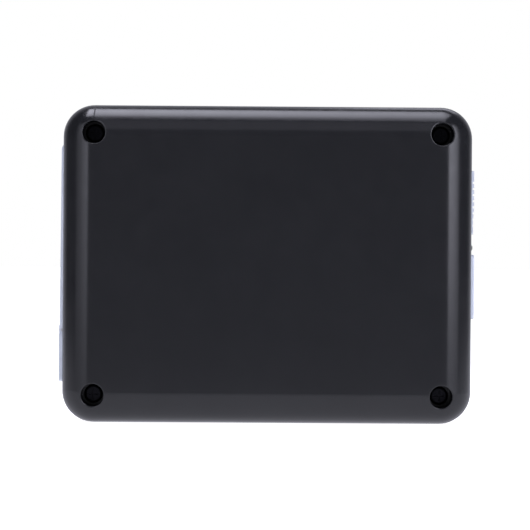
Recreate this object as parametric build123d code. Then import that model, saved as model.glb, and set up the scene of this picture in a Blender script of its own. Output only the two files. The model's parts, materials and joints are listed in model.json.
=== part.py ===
"""A handheld Geiger counter: two moulded shells round a display, a detector tube and one circuit board.

Every piece is drawn on the bench: X to the right seen from the display side, Y up, Z towards the display,
with the origin in the middle of the case. put() then stands the piece up in the part's frame. There +Z is
up, the display faces -Y and the origin is in the middle of the bottom wall.
"""

import os

from build123d import *

# --- Case ---
CASE_W = 120.0
CASE_H = 93.0
CASE_D = 32.0
CORNER_R = 9.3
REAR_EDGE_R = 9.0
FRONT_EDGE_R = 3.0
WALL = 2.4
PARTING_Z = 4.0
LIP_H = 1.2
LIP_T = 1.0
LIP_GAP = 0.2
SEAM = 0.25
OVERLAP = 0.5

REAR_Z = -CASE_D / 2
FRONT_Z = CASE_D / 2
REAR_IN = REAR_Z + WALL
FRONT_IN = FRONT_Z - WALL
SIDE_X = CASE_W / 2
SIDE_IN = SIDE_X - WALL

# --- Case screws, driven from deep holes in the rear ---
SCREW_X = 50.85
SCREW_Y = 38.3
RECESS_R = 3.3
RECESS_RIM_R = 0.3
RECESS_FLOOR_Z = -3.5
REAR_BOSS_R = 5.2
REAR_BOSS_END_Z = -0.5
FRONT_BOSS_R = 4.0
FRONT_BOSS_END_Z = -0.3
HEAD_R = 2.75
HEAD_H = 2.0
SHANK_R = 1.3
SHANK_L = 12.0
SHANK_BORE_END_Z = 10.0
HEAD_ROUND = 0.8
CROSS_HALF_L = 1.6
CROSS_HALF_W = 0.3
CROSS_DEPTH = 1.1
FIT_GAP = 0.02
THROUGH_R = 1.65
WEB_HALF_T = 0.9

# --- Main board ---
BOARD_T = 1.6
BOARD_HALF_W = 53.5
BOARD_SIDE_HALF_H = 32.0
BOARD_MID_HALF_W = 45.5
BOARD_HALF_H = 42.5
BOARD_BACK = -BOARD_T
POST_R = 2.8
POST_X = 42.0
POST_YS = (26.0, -22.0)
POST_BORE = 8.0
BOARD_SCREW_R = 0.95
BOARD_SCREW_L = 7.5
SMALL_HEAD_R = 1.9
SMALL_HEAD_H = 1.3
SMALL_SLOT_HALF_L = 1.2
SMALL_SLOT_HALF_W = 0.25
SMALL_SLOT_DEPTH = 0.7
BOARD_CORNER_R = 1.5

# --- Display ---
LENS_W = 84.0
LENS_H = 44.0
LENS_R = 3.0
LENS_T = 1.35
TAPE_T = 0.15
LENS_SEAT = 1.6
WINDOW_W = 70.0
WINDOW_H = 30.0
DISPLAY_Y = 17.0
LCD_BOARD_Z = 7.2
LCD_BOARD_W = 88.0
LCD_BOARD_H = 44.0
BEZEL_W = 78.0
BEZEL_H = 37.0
BEZEL_TOP = 13.3
BEZEL_T = 0.4
GLASS_T = 2.2
GLASS_GAP = 0.2
LCD_SCREW_X = 41.5
LCD_SCREW_DY = 19.5
LCD_SCREW_R = 0.95
LCD_SCREW_END_Z = -4.0
SPACER_R = 2.3
NUT_R = 2.3
NUT_H = 1.6
HEADER_PINS = 16
HEADER_PITCH = 2.54
HEADER_Y = 37.0
HEADER_HALF_W = 1.25
PIN_HALF = 0.3
PIN_REACH = 3.0
PIN_HOLE_R = 0.5

# --- Front keys ---
KEY_W = 13.0
KEY_H = 7.5
KEY_Y = -14.5
KEY_PROUD = 0.8
KEY_GAP = 0.2
KEY_RIM = 1.0
KEY_RIM_T = 1.0
KEY_STEM_Z = 11.0
KEY_STEM_R = 2.2
KEY_XS = {"menu": -31.5, "down": -10.5, "up": 10.5, "lamp": 31.5}
KEY_TRAVEL = 0.5
TACT = 6.0
TACT_H = 3.5
PLUNGER_R = 1.7
PLUNGER_GAP = 0.1

# --- Sounder and count lamp, at the ends of the row of keys ---
SOUNDER_X = 46.5
SOUNDER_R = 6.0
SOUNDER_H = 8.5
SOUND_HOLE_R = 0.75
SOUND_RING_R = 2.6
COUNT_LAMP_X = -46.5
COUNT_LAMP_R = 1.5
COUNT_LAMP_BASE_Z = 10.5
COUNT_LAMP_DOME_Z = 15.1
LEG_HALF = 0.25
LEG_X = 1.27

# --- Coil on the board's front ---
COIL_X = 21.0
COIL_Y = -22.0
COIL_R = 4.5
COIL_H = 7.0
COIL_CORE_R = 3.2
COIL_FLANGE = 1.2
CAN_XS = (-33.0, -25.5)
CAN_Y = 24.0
CAN_R = 3.1
CAN_H = 5.6
FILM_XS = (-26.0, -16.0)
FILM_YS = (-19.3, -24.3)
FILM_HALF_T = 2.0
FILM_H = 8.0
MICRO_XS = (-23.0, -13.0)
MICRO_YS = (10.0, 20.0)
MICRO_T = 1.4
MICRO_BEVEL = 0.3
CHIP_SPOTS = ((10.0, 10.0), (24.0, 24.0), (28.0, 3.0))
CHIP_HALF_W = 2.5
CHIP_HALF_H = 2.0
CHIP_T = 1.5
CRYSTAL_SPOT = (-2.0, 22.0)
CRYSTAL_L = 11.0
CRYSTAL_W = 4.6
CRYSTAL_H = 3.5
CRYSTAL_ROUND = 0.6

# --- Detector tube ---
TUBE_Y = -33.0
TUBE_Z = 6.5
TUBE_R = 5.0
TUBE_IN_R = 4.4
TUBE_HALF_L = 42.0
CAP_R = 5.2
CAP_FROM = 38.0
CLIP_X = 40.0
CLIP_W = 3.4
CLIP_T = 0.5
CLIP_MOUTH_HALF = 4.2
CLIP_NECK_HALF = 1.6
CLIP_FOOT_HALF = 4.0
TUBE_END_X = 43.0
TUBE_PIN_END_X = 46.0
TUBE_PIN_R = 0.9
SLEEVE_HALF_L = 34.0
SLEEVE_R = 4.2
SLEEVE_IN_R = 3.9
ANODE_R = 0.25
SLOT_W = 2.2
SLOT_L = 12.0
SLOT_PITCH = 6.0
SLOTS = 13

# --- Controls and ports in the side walls, all on one line ---
SIDE_Z = -3.6
SIDE_KEY_H = 5.0
SIDE_KEY_YS = (-15.7, 3.3)
SIDE_KEY_PROUD = 1.0
SIDE_KEY_RIM_X = -57.3
SIDE_KEY_RIM = 0.9
SIDE_KEY_RIM_T = 0.8
SIDE_KEY_STEM_X = -54.2
SIDE_SWITCH_XS = (-52.9, -49.4)
SIDE_PLUNGER_R = 1.0
ROCKER_YS = (9.3, 28.0)
ROCKER_PROUD = 0.8
ROCKER_LOW_PROUD = 0.55
ROCKER_PIVOT_X = -56.7
ROCKER_ARM = 6.2
ROCKER_END_GAP = 0.3
ROCKER_HUB_R = 1.7
ROCKER_BORE_R = 0.8
ROCKER_PIN_R = 0.75
EAR_HALF = 1.8
EAR_T = 1.2
EAR_GAP = 0.6
GROOVES = 8
GROOVE_PITCH = 1.8
GROOVE_HALF = 0.3
GROOVE_DEPTH = 0.4
LIGHT_PIPE_Y = 5.35
LIGHT_PIPE_R = 0.8
LIGHT_PIPE_PROUD = 0.55
LIGHT_PIPE_END_X = -54.0
STRIP_W = 7.6
STRIP_YS = (-18.4, 35.0)
STRIP_SEAT = 0.8
STRIP_PROUD = (0.78, 0.53)
STRIP_END_ROUND = 1.0
STRIP_SLOPE = (0.6, 1.2)
STUD_R = 1.5
STUD_END_X = 55.8
STUD_YS = (24.0, -6.0)
BAR_LAMP_XS = (52.0, 55.5)
BAR_LAMP_HALF = 1.6
STATUS_LAMP_XS = (-53.4, -51.8)
STATUS_LAMP_HALF = 0.9
LAMP_TOP_Z = (-4.8, -4.4)
FLAP_YS = (-34.6, -18.7)
FLAP_PROUD = 1.0
FLAP_SEAT = 1.0
FLAP_SHOULDER_Y = -20.7
FLAP_SCOOP_R = 2.2
FLAP_SCOOP_DEPTH = 0.4
CHEEK_W = 1.1
FLAP_PIN_R = 0.35
PORT_Y = -27.0
PORT_W = 8.94
PORT_H = 3.26
PORT_R = 1.3
PORT_SKIN = 0.3
PORT_XS = (50.2, 57.4)
PORT_BACK = 1.0
TONGUE_XS = (51.0, 56.4)
TONGUE_HALF_W = 3.35
TONGUE_HALF_T = 0.35
PORT_HOLE_HALF_W = 4.8
PORT_HOLE_HALF_H = 1.95
FLAP_PLUG_X = 57.9
FLAP_PLUG_HALF_W = 4.2
FLAP_PLUG_HALF_H = 1.3

# --- Battery ---
BATTERY_W = 60.0
BATTERY_H = 42.0
BATTERY_T = 7.5
BATTERY_Y = 8.0
BATTERY_LIFT = 0.2
BATTERY_EDGE_R = 2.5
FENCE_GAP = 0.4
FENCE_T = 1.2
FENCE_L = 8.0
FENCE_H = 4.5
LEAD_R = 0.6
LEAD_BEND_R = 2.4
PLUG_END_Y = -22.5
JACK_XS = (-5.2, 3.2)
JACK_YS = (-31.0, -25.0)
JACK_BOTTOM_Z = -7.2
JACK_SKIN = 0.8
JACK_SHELL = 1.0
JACK_HOLLOW_ZS = (-6.6, -2.4)
PLUG_XS = (-4.2, 2.2)
PLUG_START_Y = -29.5
PLUG_ZS = (-6.4, -2.6)
TAPE_PAD_HALF_W = 20.0
TAPE_PAD_HALF_H = 12.0
LEAD_XS = {"red": -2.2, "black": 0.2}


def block(x0, x1, y0, y1, z0, z1):
    """A box between two values on each axis."""
    return Pos((x0 + x1) / 2, (y0 + y1) / 2, (z0 + z1) / 2) * Box(x1 - x0, y1 - y0, z1 - z0)


def layer(z0, z1):
    """Everything between two heights, out past the case."""
    return block(-CASE_W, CASE_W, -CASE_H, CASE_H, z0, z1)


def post(x, y, z0, z1, radius):
    """A round post along Z."""
    return Pos(x, y, (z0 + z1) / 2) * Cylinder(radius, z1 - z0)


def rod_x(x0, x1, y, z, radius):
    """A round rod along X."""
    return Pos((x0 + x1) / 2, y, z) * Rot(0, 90, 0) * Cylinder(radius, x1 - x0)


def plate(outline, z0, z1):
    """An outline in XY given thickness from z0 to z1."""
    return Pos(0, 0, z0) * extrude(outline, z1 - z0)


def rounded(width, height, radius, x=0.0, y=0.0):
    """A round-cornered outline centred on x, y."""
    return Pos(x, y) * RectangleRounded(width, height, radius)


def corners(x, y, centre_y=0.0):
    """The four points at plus and minus x and y about a centre on the Y axis."""
    return [(sx * x, centre_y + sy * y) for sx in (-1, 1) for sy in (-1, 1)]


def put(name, *shapes):
    """Stands a piece up in the part's frame and writes it."""
    upright = Plane(origin=(0, 0, CASE_H / 2), x_dir=(1, 0, 0), z_dir=(0, -1, 0)).location
    solids = [solid for shape in shapes for solid in shape.solids()]
    moved = [upright * solid for solid in solids]
    export_step(moved[0] if len(moved) == 1 else Compound(children=moved), f"parts/{name}.step")


# --- Shells ---


def case_outside():
    """The whole case as one block: deep rounds at the rear edges, small ones at the front."""
    body = plate(RectangleRounded(CASE_W, CASE_H, CORNER_R), REAR_Z, FRONT_Z)
    body = fillet(body.faces().sort_by(Axis.Z)[0].edges(), REAR_EDGE_R)
    return fillet(body.faces().sort_by(Axis.Z)[-1].edges(), FRONT_EDGE_R)


def case_inside():
    """The hollow inside the walls."""
    hollow = RectangleRounded(CASE_W - 2 * WALL, CASE_H - 2 * WALL, CORNER_R - WALL)
    body = plate(hollow, REAR_IN, FRONT_IN)
    body = fillet(body.faces().sort_by(Axis.Z)[0].edges(), REAR_EDGE_R - WALL)
    return fillet(body.faces().sort_by(Axis.Z)[-1].edges(), FRONT_EDGE_R - WALL)


def wall_ring(inset_out, inset_in, z0, z1):
    """A ring that follows the case wall, between two insets from the outside."""
    outer = rounded(CASE_W - 2 * inset_out, CASE_H - 2 * inset_out, CORNER_R - inset_out)
    inner = rounded(CASE_W - 2 * inset_in, CASE_H - 2 * inset_in, CORNER_R - inset_in)
    return plate(outer - inner, z0, z1)


def seam_cut(z0, z1):
    """A shallow step round the outside that shows where the shells meet."""
    outer = rounded(CASE_W + 2, CASE_H + 2, CORNER_R + 1)
    inner = rounded(CASE_W - 2 * SEAM, CASE_H - 2 * SEAM, CORNER_R - SEAM)
    return plate(outer - inner, z0, z1)


def boss_webs(x, y, z0, z1):
    """Two ribs that tie a corner boss to the walls beside it."""
    wall_x = (SIDE_IN + OVERLAP) * (1 if x > 0 else -1)
    wall_y = (CASE_H / 2 - WALL + OVERLAP) * (1 if y > 0 else -1)
    side = block(*sorted((x, wall_x)), y - WEB_HALF_T, y + WEB_HALF_T, z0, z1)
    end = block(x - WEB_HALF_T, x + WEB_HALF_T, *sorted((y, wall_y)), z0, z1)
    return side + end


def side_openings():
    """What is cut through or into the side walls for the controls, the lights and the port."""
    half = SIDE_KEY_H / 2 + KEY_GAP
    z0, z1 = SIDE_Z - half, SIDE_Z + half
    out, through = -SIDE_X - 1, -SIDE_IN + 1
    key = block(out, through, SIDE_KEY_YS[0] - KEY_GAP, SIDE_KEY_YS[1] + KEY_GAP, z0, z1)
    rocker_y0, rocker_y1 = ROCKER_YS[0] - ROCKER_END_GAP, ROCKER_YS[1] + ROCKER_END_GAP
    rocker = block(out, through, rocker_y0, rocker_y1, z0, z1)
    pipe = rod_x(out, through, LIGHT_PIPE_Y, SIDE_Z, LIGHT_PIPE_R + 0.05)
    strip_z = STRIP_W / 2 + 0.1
    floor = SIDE_X - STRIP_SEAT
    strip = block(floor, SIDE_X + 1, FLAP_YS[1], STRIP_YS[1] + 0.1, SIDE_Z - strip_z, SIDE_Z + strip_z)
    flap_floor = SIDE_X - FLAP_SEAT
    flap_top = STRIP_YS[0]
    flap = block(flap_floor, SIDE_X + 1, FLAP_YS[0] - 0.2, flap_top, SIDE_Z - strip_z, SIDE_Z + strip_z)
    port_z = port_centre_z()
    port_y0, port_y1 = PORT_Y - PORT_HOLE_HALF_W, PORT_Y + PORT_HOLE_HALF_W
    port_z0, port_z1 = port_z - PORT_HOLE_HALF_H, port_z + PORT_HOLE_HALF_H
    port = block(SIDE_IN - 1, SIDE_X, port_y0, port_y1, port_z0, port_z1)
    studs = [rod_x(SIDE_IN - 1, SIDE_X, y, SIDE_Z, STUD_R + 0.05) for y in STUD_YS]
    return key + rocker + pipe + strip + flap + port + studs


def port_centre_z():
    """The socket hangs from the back of the board."""
    return BOARD_BACK - PORT_H / 2


def rear_cover():
    """The deep rear shell, with the screw wells, board posts, battery fence and rocker's ears."""
    outside = case_outside() & layer(REAR_Z - 1, PARTING_Z)
    wells = [post(x, y, REAR_Z - 1, RECESS_FLOOR_Z, RECESS_R) for x, y in corners(SCREW_X, SCREW_Y)]
    shell = fillet(well_rims(outside - wells), RECESS_RIM_R)
    hollow = case_inside()
    for x, y in corners(SCREW_X, SCREW_Y):
        hollow -= post(x, y, REAR_Z, REAR_BOSS_END_Z, REAR_BOSS_R)
        hollow -= boss_webs(x, y, REAR_IN - 1, REAR_BOSS_END_Z)
    shell -= hollow
    shell += wall_ring(WALL - LIP_T, WALL, PARTING_Z, PARTING_Z + LIP_H)
    for x, y in corners(SCREW_X, SCREW_Y):
        shell -= post(x, y, RECESS_FLOOR_Z - 1, REAR_BOSS_END_Z + 1, THROUGH_R)
    for x in (-POST_X, POST_X):
        for y in POST_YS:
            shell += post(x, y, REAR_IN - OVERLAP, BOARD_BACK, POST_R)
            shell -= post(x, y, BOARD_BACK - POST_BORE, BOARD_BACK + 1, BOARD_SCREW_R + FIT_GAP)
    shell += battery_fence()
    shell -= side_openings()
    shell += rocker_ears()
    return shell - seam_cut(PARTING_Z - SEAM, PARTING_Z + 0.01)


def well_rims(shell):
    """The edges where the screw wells open through the rear face and its round."""
    rims = []
    for edge in shell.edges():
        points = [edge @ share for share in (0, 0.25, 0.5, 0.75, 1)]
        reach = [((abs(p.X) - SCREW_X) ** 2 + (abs(p.Y) - SCREW_Y) ** 2) ** 0.5 for p in points]
        heights = [p.Z for p in points]
        on_wall = all(abs(r - RECESS_R) < 0.001 for r in reach)
        upright = max(heights) - min(heights) > REAR_EDGE_R / 2
        if on_wall and not upright and max(heights) < RECESS_FLOOR_Z - 1:
            rims.append(edge)
    return rims


def battery_fence():
    """Four pairs of low ribs that keep the battery in place."""
    low, high = REAR_IN - OVERLAP, REAR_IN + FENCE_H
    x, y = BATTERY_W / 2 + FENCE_GAP, BATTERY_H / 2 + FENCE_GAP
    ribs = []
    for sx, sy in corners(1, 1):
        side = sorted((sx * x, sx * (x + FENCE_T)))
        along = sorted((BATTERY_Y + sy * (y - FENCE_L), BATTERY_Y + sy * (y + FENCE_T)))
        ribs.append(block(*side, *along, low, high))
        across = sorted((sx * (x - FENCE_L), sx * (x + OVERLAP)))
        end = sorted((BATTERY_Y + sy * y, BATTERY_Y + sy * (y + FENCE_T)))
        ribs.append(block(*across, *end, low, high))
    return ribs


def rocker_middle():
    """The height of the rocker's pivot."""
    return (ROCKER_YS[0] + ROCKER_YS[1]) / 2


def rocker_ear_zs():
    """The two ears that hold the rocker's pin, as pairs of Z values."""
    near = SIDE_Z - SIDE_KEY_H / 2 - EAR_GAP
    far = SIDE_Z + SIDE_KEY_H / 2 + EAR_GAP
    return ((near - EAR_T, near), (far, far + EAR_T))


def rocker_ears():
    """Ears inside the wall, each bored for the pin."""
    y = rocker_middle()
    ears = []
    for z0, z1 in rocker_ear_zs():
        ear = block(-SIDE_IN - 0.2, ROCKER_PIVOT_X + EAR_HALF, y - EAR_HALF, y + EAR_HALF, z0, z1)
        ears.append(ear - post(ROCKER_PIVOT_X, y, z0 - 1, z1 + 1, ROCKER_BORE_R))
    return ears


def front_cover():
    """The shallow front shell, open for the display, keys, lamp, sounder and tube."""
    outside = case_outside() & layer(PARTING_Z, FRONT_Z + 1)
    shell = outside - case_inside()
    shell -= wall_ring(WALL - LIP_T - LIP_GAP, WALL + 1, PARTING_Z - 0.01, PARTING_Z + LIP_H + LIP_GAP)
    for x, y in corners(SCREW_X, SCREW_Y):
        shell += post(x, y, FRONT_BOSS_END_Z, FRONT_IN + OVERLAP, FRONT_BOSS_R)
        web = boss_webs(x, y, PARTING_Z + LIP_H + 0.6, FRONT_IN + OVERLAP)
        shell += web & outside
    for x, y in corners(SCREW_X, SCREW_Y):
        shell -= post(x, y, FRONT_BOSS_END_Z - 1, SHANK_BORE_END_Z, SHANK_R + FIT_GAP)
    seat = rounded(LENS_W + 0.4, LENS_H + 0.4, LENS_R + 0.2, 0, DISPLAY_Y)
    shell -= plate(seat, FRONT_Z - LENS_SEAT, FRONT_Z + 1)
    shell -= plate(rounded(WINDOW_W + 6, WINDOW_H + 6, 1.5, 0, DISPLAY_Y), FRONT_IN - 1, FRONT_Z + 1)
    for x in KEY_XS.values():
        hole = Pos(x, KEY_Y) * SlotOverall(KEY_W + 2 * KEY_GAP, KEY_H + 2 * KEY_GAP)
        shell -= plate(hole, FRONT_IN - 1, FRONT_Z + 1)
    shell -= post(COUNT_LAMP_X, KEY_Y, FRONT_IN - 1, FRONT_Z + 1, COUNT_LAMP_R + 0.1)
    shell -= [post(x, y, FRONT_IN - 1, FRONT_Z + 1, SOUND_HOLE_R) for x, y in sound_holes()]
    shell -= tube_slots()
    return shell - seam_cut(PARTING_Z - 0.01, PARTING_Z + SEAM)


def sound_holes():
    """One hole with a ring of six round it, over the sounder."""
    ring = [loc.position for loc in PolarLocations(SOUND_RING_R, 6)]
    return [(SOUNDER_X, KEY_Y)] + [(SOUNDER_X + p.X, KEY_Y + p.Y) for p in ring]


def tube_slots():
    """Upright slots in the front wall, over the tube."""
    first = -(SLOTS - 1) / 2 * SLOT_PITCH
    cuts = []
    for i in range(SLOTS):
        slot = Pos(first + i * SLOT_PITCH, TUBE_Y) * Rot(0, 0, 90) * SlotOverall(SLOT_L, SLOT_W)
        cuts.append(plate(slot, FRONT_IN - 1, FRONT_Z + 1))
    return cuts


def case_screws():
    """Four cross-head screws on the floors of the rear wells."""
    top = RECESS_FLOOR_Z - HEAD_H
    screws = []
    for x, y in corners(SCREW_X, SCREW_Y):
        head = post(x, y, top, RECESS_FLOOR_Z, HEAD_R)
        head = fillet(head.faces().sort_by(Axis.Z)[0].edges(), HEAD_ROUND)
        screw = head + post(x, y, RECESS_FLOOR_Z, RECESS_FLOOR_Z + SHANK_L, SHANK_R)
        for dx, dy in ((CROSS_HALF_L, CROSS_HALF_W), (CROSS_HALF_W, CROSS_HALF_L)):
            screw -= block(x - dx, x + dx, y - dy, y + dy, top - 1, top + CROSS_DEPTH)
        screws.append(screw)
    return screws


# --- Display ---


def display_lens():
    """The clear window, with eased front edges."""
    top = FRONT_Z - 0.1
    lens = plate(rounded(LENS_W, LENS_H, LENS_R, 0, DISPLAY_Y), top - LENS_T, top)
    return chamfer(lens.faces().sort_by(Axis.Z)[-1].edges(), 0.2)


def lens_tape():
    """The black frame that glues the window in and masks its border."""
    z = FRONT_Z - LENS_SEAT
    frame = rounded(LENS_W, LENS_H, LENS_R, 0, DISPLAY_Y) - rounded(WINDOW_W, WINDOW_H, 1.5, 0, DISPLAY_Y)
    return plate(frame, z, z + TAPE_T)


def lcd_bezel():
    """The folded metal frame that clamps the glass to its board."""
    base = LCD_BOARD_Z + BOARD_T
    box = plate(rounded(BEZEL_W, BEZEL_H, 0.8, 0, DISPLAY_Y), base, BEZEL_TOP)
    inner_w, inner_h = BEZEL_W - 2 * BEZEL_T, BEZEL_H - 2 * BEZEL_T
    inside = plate(rounded(inner_w, inner_h, 0.4, 0, DISPLAY_Y), base, BEZEL_TOP - BEZEL_T)
    view = plate(rounded(WINDOW_W + 2, WINDOW_H + 1, 0.5, 0, DISPLAY_Y), base, BEZEL_TOP + 1)
    return box - inside - view


def lcd_stack():
    """The lit block and the glass on it, inside the bezel."""
    base = LCD_BOARD_Z + BOARD_T
    width, height = BEZEL_W - 2 * (BEZEL_T + GLASS_GAP), BEZEL_H - 2 * (BEZEL_T + GLASS_GAP)
    y0, y1 = DISPLAY_Y - height / 2, DISPLAY_Y + height / 2
    glass_z = BEZEL_TOP - BEZEL_T - GLASS_T
    light = block(-width / 2, width / 2, y0, y1, base, glass_z)
    glass = block(-width / 2, width / 2, y0, y1, glass_z, BEZEL_TOP - BEZEL_T)
    return light, glass


def lcd_board():
    """The display's own board, bored for its screws and its row of pins."""
    z0, z1 = LCD_BOARD_Z, LCD_BOARD_Z + BOARD_T
    board = plate(rounded(LCD_BOARD_W, LCD_BOARD_H, BOARD_CORNER_R, 0, DISPLAY_Y), z0, z1)
    for x, y in corners(LCD_SCREW_X, LCD_SCREW_DY, DISPLAY_Y):
        board -= post(x, y, z0 - 1, z1 + 1, LCD_SCREW_R + 0.1)
    return board - [post(x, HEADER_Y, z0 - 1, z1 + 1, PIN_HOLE_R) for x in header_xs()]


def header_xs():
    """The places of the pins along the display's upper edge."""
    first = -(HEADER_PINS - 1) / 2 * HEADER_PITCH
    return [first + i * HEADER_PITCH for i in range(HEADER_PINS)]


def lcd_header():
    """The plastic strip between the boards, and the square pins through both."""
    half = HEADER_PINS * HEADER_PITCH / 2
    strip = block(-half, half, HEADER_Y - HEADER_HALF_W, HEADER_Y + HEADER_HALF_W, 0, LCD_BOARD_Z)
    hole = PIN_HALF + FIT_GAP
    pins = []
    for x in header_xs():
        strip -= block(x - hole, x + hole, HEADER_Y - hole, HEADER_Y + hole, -1, LCD_BOARD_Z + 1)
        y0, y1 = HEADER_Y - PIN_HALF, HEADER_Y + PIN_HALF
        pins.append(block(x - PIN_HALF, x + PIN_HALF, y0, y1, -PIN_REACH, LCD_BOARD_Z + PIN_REACH))
    return strip, pins


def small_head(x, y, z):
    """The slotted round head of a small screw that stands on height z."""
    x0, x1 = x - SMALL_SLOT_HALF_L, x + SMALL_SLOT_HALF_L
    y0, y1 = y - SMALL_SLOT_HALF_W, y + SMALL_SLOT_HALF_W
    top = z + SMALL_HEAD_H
    return post(x, y, z, top, SMALL_HEAD_R) - block(x0, x1, y0, y1, top - SMALL_SLOT_DEPTH, top + 1)


def lcd_fasteners():
    """Spacers between the boards, the screws through them and the nuts behind."""
    spacers, screws, nuts = [], [], []
    top = LCD_BOARD_Z + BOARD_T
    for x, y in corners(LCD_SCREW_X, LCD_SCREW_DY, DISPLAY_Y):
        spacers.append(post(x, y, 0, LCD_BOARD_Z, SPACER_R) - post(x, y, -1, 10, LCD_SCREW_R + 0.1))
        screws.append(small_head(x, y, top) + post(x, y, LCD_SCREW_END_Z, top, LCD_SCREW_R))
        hexagon = Pos(x, y) * RegularPolygon(NUT_R, 6)
        nut = plate(hexagon, BOARD_BACK - NUT_H, BOARD_BACK)
        nuts.append(nut - post(x, y, LCD_SCREW_END_Z - 1, 0, LCD_SCREW_R + FIT_GAP))
    return spacers, screws, nuts


# --- Main board and what is soldered to it ---


def main_board():
    """The board on the rear shell's posts, notched at the corners for the case screws."""
    outline = rounded(2 * BOARD_HALF_W, 2 * BOARD_SIDE_HALF_H, BOARD_CORNER_R)
    outline += rounded(2 * BOARD_MID_HALF_W, 2 * BOARD_HALF_H, BOARD_CORNER_R)
    board = plate(outline, BOARD_BACK, 0)
    for x, y in corners(LCD_SCREW_X, LCD_SCREW_DY, DISPLAY_Y):
        board -= post(x, y, -3, 1, LCD_SCREW_R + 0.1)
    for x in (-POST_X, POST_X):
        for y in POST_YS:
            board -= post(x, y, -3, 1, 1.2)
    return board - [post(x, HEADER_Y, -3, 1, PIN_HOLE_R) for x in header_xs()]


def board_screws():
    """Four small screws from the display side into the rear shell's posts."""
    screws = []
    for x in (-POST_X, POST_X):
        for y in POST_YS:
            screws.append(small_head(x, y, 0) + post(x, y, -BOARD_SCREW_L, 0, BOARD_SCREW_R))
    return screws


def key_cap(x):
    """A pill-shaped key: eased top, a rim that keeps it in the shell and a stem down to its switch."""
    face = Pos(x, KEY_Y) * SlotOverall(KEY_W, KEY_H)
    rim = Pos(x, KEY_Y) * SlotOverall(KEY_W + 2 * KEY_RIM, KEY_H + 2 * KEY_RIM)
    rim_top = FRONT_IN - 0.2
    cap = plate(face, rim_top, FRONT_Z + KEY_PROUD)
    cap = fillet(cap.faces().sort_by(Axis.Z)[-1].edges(), 0.5)
    rim_z = rim_top - KEY_RIM_T
    return cap + plate(rim, rim_z, rim_top) + post(x, KEY_Y, KEY_STEM_Z, rim_z, KEY_STEM_R)


def key_switch(x):
    """A square tact switch, bored for its long plunger, and that plunger."""
    half = TACT / 2
    body = block(x - half, x + half, KEY_Y - half, KEY_Y + half, 0, TACT_H)
    body -= post(x, KEY_Y, 1.6, TACT_H + 1, PLUNGER_R + PLUNGER_GAP)
    return body, post(x, KEY_Y, 2.4, KEY_STEM_Z, PLUNGER_R)


def side_tact(y):
    """A sideways tact switch behind the left wall, without its plunger."""
    return block(*SIDE_SWITCH_XS, y - TACT / 2, y + TACT / 2, SIDE_Z - 2.0, BOARD_BACK)


def side_switches():
    """One switch for the side key, bored for its moving plunger, and two under the rocker."""
    key_y = sum(SIDE_KEY_YS) / 2
    alone = side_tact(key_y) - rod_x(-53.5, -50.8, key_y, SIDE_Z, SIDE_PLUNGER_R + PLUNGER_GAP)
    pair = []
    for y in (rocker_middle() - ROCKER_ARM, rocker_middle() + ROCKER_ARM):
        pair.append(side_tact(y) + rod_x(-54.1, -52.0, y, SIDE_Z, SIDE_PLUNGER_R))
    return [alone, *pair]


def coil():
    """The high-voltage coil: a flanged ferrite bobbin, and the winding on it."""
    z0, z1 = COIL_FLANGE, COIL_H - COIL_FLANGE
    waist = post(COIL_X, COIL_Y, z0, z1, COIL_R + 1) - post(COIL_X, COIL_Y, z0, z1, COIL_CORE_R)
    core = post(COIL_X, COIL_Y, 0, COIL_H, COIL_R) - waist
    winding = post(COIL_X, COIL_Y, z0 + 0.1, z1 - 0.1, COIL_R - 0.3)
    return core, winding - post(COIL_X, COIL_Y, 0, COIL_H, COIL_CORE_R + 0.05)


def small_parts():
    """The chips, coil and capacitors on the board's front, by node name."""
    cans = [post(x, CAN_Y, 0, CAN_H, CAN_R) for x in CAN_XS]
    core, winding = coil()
    film = [block(*FILM_XS, y - FILM_HALF_T, y + FILM_HALF_T, 0, FILM_H) for y in FILM_YS]
    micro = block(*MICRO_XS, *MICRO_YS, 0, MICRO_T)
    chips = [
        block(x - CHIP_HALF_W, x + CHIP_HALF_W, y - CHIP_HALF_H, y + CHIP_HALF_H, 0, CHIP_T)
        for x, y in CHIP_SPOTS
    ]
    crystal = plate(Pos(*CRYSTAL_SPOT) * SlotOverall(CRYSTAL_L, CRYSTAL_W), 0, CRYSTAL_H)
    return {
        "supply_capacitors": cans,
        "hv_coil_core": [core],
        "hv_coil_winding": [winding],
        "hv_capacitors": film,
        "microcontroller": [chamfer(micro.edges().group_by(Axis.Z)[-1], MICRO_BEVEL)],
        "board_chips": chips,
        "crystal_can": [fillet(crystal.faces().sort_by(Axis.Z)[-1].edges(), CRYSTAL_ROUND)],
    }


def sounder():
    """A round buzzer with its sound hole."""
    body = post(SOUNDER_X, KEY_Y, 0, SOUNDER_H, SOUNDER_R)
    body = fillet(body.faces().sort_by(Axis.Z)[-1].edges(), 0.5)
    return body - post(SOUNDER_X, KEY_Y, SOUNDER_H - 2, SOUNDER_H + 1, 1.2)


def count_lamp():
    """A 3 mm lamp on long legs, its dome just through the front wall."""
    x, base = COUNT_LAMP_X, COUNT_LAMP_BASE_Z
    body = post(x, KEY_Y, base, COUNT_LAMP_DOME_Z, COUNT_LAMP_R)
    body += post(x, KEY_Y, base, base + 1.0, COUNT_LAMP_R + 0.4)
    body += Pos(x, KEY_Y, COUNT_LAMP_DOME_Z) * Sphere(COUNT_LAMP_R)
    y0, y1 = KEY_Y - LEG_HALF, KEY_Y + LEG_HALF
    return body, [block(lx - LEG_HALF, lx + LEG_HALF, y0, y1, 0, base) for lx in (x - LEG_X, x + LEG_X)]


# --- Detector tube ---


def tube_rod(x0, x1, radius):
    """A round rod on the tube's axis."""
    return rod_x(*sorted((x0, x1)), TUBE_Y, TUBE_Z, radius)


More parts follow.
